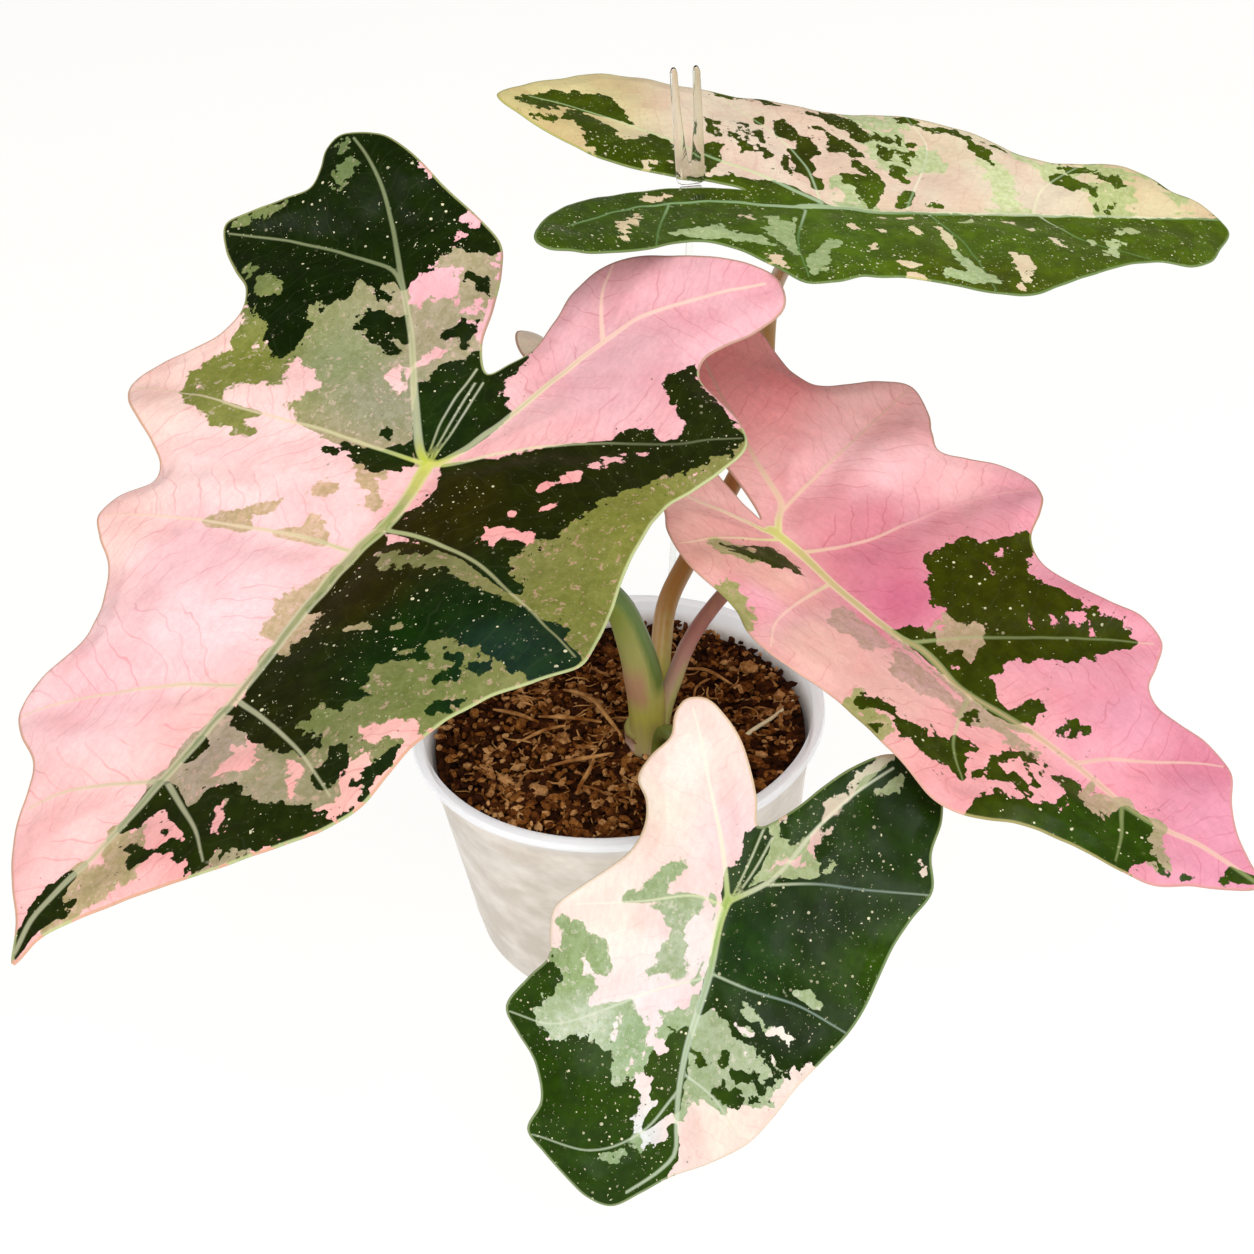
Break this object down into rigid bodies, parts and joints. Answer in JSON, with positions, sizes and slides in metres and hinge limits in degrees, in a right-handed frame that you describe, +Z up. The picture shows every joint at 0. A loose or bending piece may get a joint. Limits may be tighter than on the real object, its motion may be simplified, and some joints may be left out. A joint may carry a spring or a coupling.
{
  "type": "potted variegated kris plant",
  "caption": "Alocasia-type house plant with waved, arrow-shaped variegated leaves on long stalks, in a soft tapered nursery pot of coco chips with a clear leaf support.",
  "frame": {"origin": "middle of the pot's flat underside", "axes": "+Z up along the pot's axis; -Y is the front of the plant, where the lowest leaf hangs over the rim; +X is to the right seen from the front"},
  "size_m": [0.3107, 0.2502, 0.2528],
  "materials": {
    "pot_plastic": "translucent soft plastic, smooth, slightly milky",
    "soil": "loose coco chips, bark crumbs and tan fibre, matte",
    "crown_skin": "pinkish-beige old sheath bases with a reddish ring",
    "petiole_left_skin": "dark olive sheath with a mauve patch, waxy",
    "petiole_back_skin": "brown above, yellow-green below, waxy",
    "petiole_right_skin": "mauve-pink and brown, waxy",
    "petiole_front_skin": "dark green, waxy",
    "leaf_left_blade": "glossy leaf, pink, sage and near-black green patches with net veins",
    "leaf_right_blade": "glossy leaf, deep rose pink with olive patches and net veins",
    "leaf_back_blade": "glossy leaf, cream and peach with dark green islands",
    "leaf_front_blade": "glossy leaf, creamy white and sage on the left, green on the right",
    "root_skin": "pale dry root",
    "clear_plastic": "clear moulded plastic with a slight green tint at the edges"
  },
  "bodies": {
    "root": {"pot": "pot_plastic", "soil": "soil", "crown": "crown_skin", "petiole_left": "petiole_left_skin", "petiole_back": "petiole_back_skin", "petiole_right": "petiole_right_skin", "petiole_front": "petiole_front_skin", "leaf_left": "leaf_left_blade", "leaf_right": "leaf_right_blade", "leaf_back": "leaf_back_blade", "leaf_front": "leaf_front_blade", "pale_root": "root_skin", "support_rod": "clear_plastic", "support_fork": "clear_plastic"}
  },
  "joints": []
}
